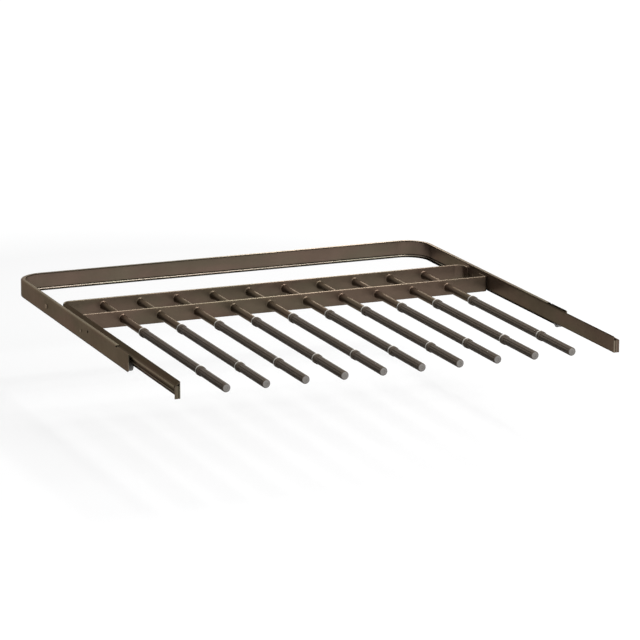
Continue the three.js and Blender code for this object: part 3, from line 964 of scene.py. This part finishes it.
def make_tab():
    """The front tab of the left rail, folded outwards across its end."""
    groove_outer, groove_inner = TAB_GROOVE_OUTER - half_width, TAB_GROOVE_INNER - half_width
    groove_middle = (groove_outer + groove_inner) / 2
    groove_half = (groove_inner - groove_outer) / 2
    outline = tab_outline(groove_outer, groove_inner)
    rings = [[Vector((x, y, z)) for x, y in outline] for z in (rail_low.z, rail_high.z - TAB_DROP)]
    tab = lofted("tab", rings, materials["rail"])

    def in_groove(centre, normal):
        return abs(centre.x - groove_middle) < groove_half

    def on_fold(centre, normal):
        on_bend = centre.x > groove_inner and normal.y < -LEANING and normal.x > 0
        on_strip = groove_outer - TAB_EDGE_STRIP < centre.x < groove_outer and normal.y < 0
        return abs(normal.z) < HALFWAY and (on_bend or on_strip)

    # Painted shade: near-black enamel in the groove across the tab's front
    paint_faces(tab, materials["rim"], in_groove)
    # Painted highlight: paler enamel on the fold and on the strip beside the groove
    paint_faces(tab, materials["edge"], on_fold)
    return tab


def make_crossbar(node, name, radius, bends_forward):
    """A flat bar on edge with its ends bent along the rails, to the front or to the rear."""
    low, high = corners_of(node)
    outline = rounded([
        (0, low.z, BAR_EDGE),
        (0, high.z, BAR_EDGE),
        (BAR_WALL, high.z, BAR_EDGE),
        (BAR_WALL, low.z, BAR_EDGE),
    ])
    path = stations_round(high.x, high.y, low.y, radius)
    if not bends_forward:
        turned_y = low.y + high.y
        path = [(Vector((p.x, turned_y - p.y, 0)), Vector((out.x, -out.y, 0))) for p, out in path]
    bar = swept(name, path, outline, materials["crossbar"])
    # Painted highlight: paler, glossier enamel on the bar's top faces and upper roundings
    paint_faces(bar, materials["edge"], lambda centre, normal: normal.z > UPWARD)
    smooth(bar)
    place(bar, "carriage", "painted_steel", node)


def make_rod(number):
    """A rod with a thinner core inside its sleeves and a tenon in the rear crossbar."""
    node = f"rod_{number}"
    low, high = corners_of(node)
    axis = lengthways_axis(low, high)
    shoulder = corners_of("rear_crossbar")[1].y - BAR_WALL
    sleeve_rear = corners_of(f"rear_grip_{number}")[1].y
    fine = EDGE_ROUNDING
    profile = [
        (0, low.y),
        (CORE_RADIUS, low.y),
        (CORE_RADIUS, sleeve_rear),
        (ROD_RADIUS - fine, sleeve_rear),
        (ROD_RADIUS, sleeve_rear + fine),
        (ROD_RADIUS, shoulder),
        (TENON_RADIUS, shoulder),
        (TENON_RADIUS, high.y - fine),
        (TENON_RADIUS - fine, high.y),
        (0, high.y),
    ]
    rod = turned(f"steel_rod_{number}", profile, Y_AXIS, axis, materials["rod"], ROD_SIDES)
    smooth(rod)
    place(rod, "carriage", "painted_steel", node)

    front_bar = corners_of("front_crossbar")[0].y
    seats = [(shoulder, -1), (front_bar + BAR_WALL, 1), (front_bar, -1)]
    for seat, (face, way) in enumerate(seats):
        phase = number + seat / len(seats)
        bead = weld_bead(f"weld_{number}_{seat + 1}", axis, face, way, phase)
        place(bead, "carriage", "painted_steel")


def weld_bead(name, axis, face, way, phase):
    """An uneven fillet round a rod where it meets a crossbar, fullest on top."""
    inside = ROD_RADIUS - FIT_GAP
    profile = [(inside, face), (ROD_RADIUS + BEAD_WIDTH, face, BEAD_WIDTH)]
    for a in arc_angles(BEAD_STEPS)[1:]:
        spread = BEAD_WIDTH * (1 - math.sin(a))
        profile.append((ROD_RADIUS + spread, face + way * BEAD_LENGTH * (1 - math.cos(a)), spread))
    profile.append((inside, face + way * BEAD_LENGTH))

    def ripple(angle):
        waves = 0
        for height, count, shift in BEAD_WAVES:
            waves += height * math.sin(count * angle + phase * shift)
        crest = BEAD_CREST * max(0, math.cos(angle)) ** BEAD_CREST_SHARPNESS
        return BEAD_THINNING + waves - crest

    # Painted highlight: the bead takes an enamel paler than the rod's
    bead = turned(name, profile, Y_AXIS, axis, materials["bead_painted_highlight"], ROD_SIDES, ripple)
    smooth(bead, BEAD_SMOOTH_ANGLE)
    return bead


def make_sleeve(number, kind):
    """A ribbed sleeve with a chamfered collar at its rear and a pale ring behind that."""
    node = f"{kind}_grip_{number}"
    low, high = corners_of(node)
    axis = lengthways_axis(low, high)
    ring_radius = (high.x - low.x) / 2
    bore = CORE_RADIUS + FIT_GAP
    ring_front = high.y - RING_LENGTH
    collar_front = ring_front - COLLAR_LENGTH
    fine = EDGE_ROUNDING
    profile = [
        (bore, low.y),
        (SLEEVE_RADIUS - fine, low.y, RIB_DEPTH / 2),
        (SLEEVE_RADIUS, low.y + fine, RIB_DEPTH),
        (SLEEVE_RADIUS, collar_front, RIB_DEPTH),
        (COLLAR_RADIUS - COLLAR_CHAMFER, collar_front),
        (COLLAR_RADIUS - COLLAR_CHAMFER / 3, collar_front + COLLAR_CHAMFER / 3),
        (COLLAR_RADIUS, collar_front + COLLAR_CHAMFER),
        (COLLAR_RADIUS, ring_front - fine),
        (COLLAR_RADIUS - fine, ring_front),
        (bore, ring_front),
    ]

    def ribs(angle):
        return 1 - abs(math.cos(RIB_COUNT * angle / 2)) ** RIB_SHARPNESS

    name = f"sleeve_{kind}_{number}"
    sleeve = turned(name, profile, Y_AXIS, axis, materials["sleeve"], SLEEVE_SIDES, ribs)
    smooth(sleeve, GRIP_SMOOTH_ANGLE)
    place(sleeve, "carriage", "grip_plastic", node)

    ring_profile = [
        (bore, ring_front),
        (ring_radius - fine, ring_front),
        (ring_radius, ring_front + fine),
        (ring_radius, high.y - fine),
        (ring_radius - fine, high.y),
        (bore, high.y),
    ]
    ring = turned(f"collar_ring_{kind}_{number}", ring_profile, Y_AXIS, axis, materials["ring"])
    smooth(ring)
    place(ring, "carriage", "cap_plastic")


def make_cap(number):
    """A rounded cap on a rod's tip, with a shallow dimple and a plug in the rod's bore."""
    node = f"tip_cap_{number}"
    low, high = corners_of(node)
    radius = (high.x - low.x) / 2
    back = corners_of(f"front_grip_{number}")[0].y
    turn = CAP_ROUNDING
    dish = low.y + CAP_DIMPLE_DEPTH
    profile = [(0, dish), (CAP_DIMPLE_RADIUS - CAP_DIMPLE_DEPTH, dish), (CAP_DIMPLE_RADIUS, low.y)]
    for a in arc_angles():
        profile.append((radius - turn + turn * math.sin(a), low.y + turn - turn * math.cos(a)))
    profile += [(radius, back), (CAP_PLUG_RADIUS, back), (CAP_PLUG_RADIUS, high.y), (0, high.y)]
    axis = lengthways_axis(low, high)
    cap = turned(f"end_cap_{number}", profile, Y_AXIS, axis, materials["cap"], ROD_SIDES)
    # Painted shade and highlight: the cap's side and rounded rim take the darker sleeve plastic, so
    # that only the front disc stays pale like a lit face
    paint_faces(cap, materials["sleeve"], lambda centre, normal: normal.y > -MOSTLY)
    smooth(cap, GRIP_SMOOTH_ANGLE)
    place(cap, "carriage", "cap_plastic", node)


# Studio

CAMERA_PLACE = Vector((-1.9617, -5.1047, 1.2714))
CAMERA_RIGHT = Vector((0.9227, -0.3854, 0.0028))
CAMERA_UP = Vector((0.0909, 0.2246, 0.9702))
CAMERA_LENS = 192.05
CAMERA_REACH = 100
SENSOR_WIDTH = 36

# Each lamp's size, power and place
LAMPS = {
    "overhead": ((1.5, 1.5), 65, (0.8, -0.4, 2.6)),
    "front": ((2.0, 1.4), 80, (0.5, -3.4, 1.6)),
    "back": ((0.5, 0.5), 11, (1.35, 2.8, 0.85)),
}
LAMP_AIM = Vector((0, -0.35, 0))
WORLD_TINT = (0.95, 0.97, 1.0)
WORLD_LEVEL = 0.15

# The floor glows white far from the rack, and less near it, where the lamps light it too
FLOOR_DROP = 0.16
FLOOR_HALF = 30
FLOOR_TONE = (0.35, 0.35, 0.35)
GLOW_NEAR = 0.645
GLOW_FAR = 1.0
GLOW_NEAR_RADIUS = 0.9
GLOW_FAR_RADIUS = 1.9


def make_camera():
    camera = bpy.data.objects.new("camera", bpy.data.cameras.new("camera"))
    bpy.context.scene.collection.objects.link(camera)
    camera.data.lens = CAMERA_LENS
    camera.data.sensor_width = SENSOR_WIDTH
    camera.data.clip_end = CAMERA_REACH
    right = CAMERA_RIGHT.normalized()
    up = (CAMERA_UP - right * CAMERA_UP.dot(right)).normalized()
    back = right.cross(up)
    rows = [[right[k], up[k], back[k], CAMERA_PLACE[k]] for k in range(3)]
    camera.matrix_world = Matrix(rows + [[0, 0, 0, 1]])
    bpy.context.scene.camera = camera


def make_lamp(name, size, power, at):
    lamp = bpy.data.objects.new(name, bpy.data.lights.new(name, "AREA"))
    bpy.context.scene.collection.objects.link(lamp)
    lamp.data.shape = "RECTANGLE"
    lamp.data.size, lamp.data.size_y = size
    lamp.data.energy = power
    lamp.location = at
    lamp.visible_camera = False
    lamp.rotation_euler = (LAMP_AIM - Vector(at)).to_track_quat("-Z", "Y").to_euler()


def seen_directly(nodes, links):
    """1 where a camera, glossy or transmitted ray looks, and 0 for the light that falls."""
    path = nodes.new("ShaderNodeLightPath")
    total = path.outputs["Is Camera Ray"]
    for name in ("Is Glossy Ray", "Is Transmission Ray"):
        both = nodes.new("ShaderNodeMath")
        both.operation = "MAXIMUM"
        links.new(total, both.inputs[0])
        links.new(path.outputs[name], both.inputs[1])
        total = both.outputs["Value"]
    return total


def make_world():
    world = bpy.data.worlds.new("studio")
    world.use_nodes = True
    bpy.context.scene.world = world
    nodes, links = world.node_tree.nodes, world.node_tree.links
    lit = nodes["Background"]
    lit.inputs["Color"].default_value = (*WORLD_TINT, 1)
    lit.inputs["Strength"].default_value = WORLD_LEVEL
    shown = nodes.new("ShaderNodeBackground")
    shown.inputs["Color"].default_value = (*WHITE, 1)
    choice = nodes.new("ShaderNodeMixShader")
    links.new(seen_directly(nodes, links), choice.inputs["Fac"])
    links.new(lit.outputs["Background"], choice.inputs[1])
    links.new(shown.outputs["Background"], choice.inputs[2])
    links.new(choice.outputs["Shader"], nodes["World Output"].inputs["Surface"])


def glow_level(nodes, links):
    """The floor's own brightness, which rises with the distance from the rack."""
    distance = nodes.new("ShaderNodeVectorMath")
    distance.operation = "LENGTH"
    links.new(nodes.new("ShaderNodeTexCoord").outputs["Object"], distance.inputs[0])
    level = nodes.new("ShaderNodeMapRange")
    level.inputs["From Min"].default_value = GLOW_NEAR_RADIUS
    level.inputs["From Max"].default_value = GLOW_FAR_RADIUS
    level.inputs["To Min"].default_value = GLOW_NEAR
    level.inputs["To Max"].default_value = GLOW_FAR
    links.new(distance.outputs["Value"], level.inputs["Value"])
    return level.outputs["Result"]


def floor_paper():
    """Pale paper that takes shadows, and glows only where it is seen."""
    material = bpy.data.materials.new("floor_paper")
    material.use_nodes = True
    nodes, links = material.node_tree.nodes, material.node_tree.links
    nodes.remove(nodes["Principled BSDF"])
    paper = nodes.new("ShaderNodeBsdfDiffuse")
    paper.inputs["Color"].default_value = (*FLOOR_TONE, 1)
    glow = nodes.new("ShaderNodeEmission")
    links.new(seen_directly(nodes, links), glow.inputs["Strength"])
    links.new(glow_level(nodes, links), glow.inputs["Color"])
    both = nodes.new("ShaderNodeAddShader")
    links.new(paper.outputs["BSDF"], both.inputs[0])
    links.new(glow.outputs["Emission"], both.inputs[1])
    links.new(both.outputs["Shader"], nodes["Material Output"].inputs["Surface"])
    return material


def make_floor():
    build = bmesh.new()
    bmesh.ops.create_grid(build, x_segments=1, y_segments=1, size=FLOOR_HALF)
    floor = add_piece("floor", finished_mesh("floor", build), floor_paper())
    floor.location.z = cad_bounds[0][2] - FLOOR_DROP


def make_studio():
    bpy.context.scene.view_settings.view_transform = "Standard"
    make_camera()
    make_world()
    make_floor()
    for name, (size, power, at) in LAMPS.items():
        make_lamp(name, size, power, at)


materials = paint_materials()
make_studio()
make_channel()
for side in ("left", "right"):
    make_peg(side, "rear")
    make_peg(side, "middle")
    make_roller(side, "front")
    make_roller(side, "rear")
    make_axle(side, "front", "frame", materials["channel"])
    make_axle(side, "rear", "carriage", materials["rail"])
make_rails()
make_crossbar("rear_crossbar", "bar_rear", REAR_BAR_BEND, True)
make_crossbar("front_crossbar", "bar_front", FRONT_BAR_BEND, False)
for number in range(1, ROD_COUNT + 1):
    make_rod(number)
    make_sleeve(number, "rear")
    make_sleeve(number, "front")
    make_cap(number)
